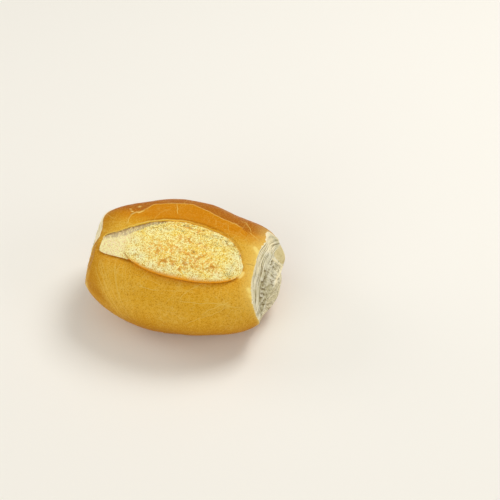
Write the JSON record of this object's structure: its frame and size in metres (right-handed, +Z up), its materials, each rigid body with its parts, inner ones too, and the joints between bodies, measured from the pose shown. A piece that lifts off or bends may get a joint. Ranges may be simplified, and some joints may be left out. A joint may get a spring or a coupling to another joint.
{
  "type": "french bread roll",
  "caption": "Plump oval bread roll with an opened slash along its top, a pale swollen crumb in the slash and a torn crumb face at each end",
  "frame": {"origin": "middle of the footprint of the roll, at the height of the surface that it rests on", "axes": "+X runs along the roll towards the end whose torn face shows, -Y is the side that the slash leans to, +Z points up"},
  "size_m": [0.1194, 0.0876, 0.0659],
  "materials": {
    "crust": "thin golden baked crust, smooth with a satin sheen and a fine network of pale cracks",
    "slash_crumb": "dry pale yellow crumb of the opened slash, finely rough, toasted in spots",
    "torn_crumb": "matt fibrous grey-white crumb where the ends were torn off"
  },
  "bodies": {
    "root": {"bread_roll": "crust"}
  },
  "joints": []
}
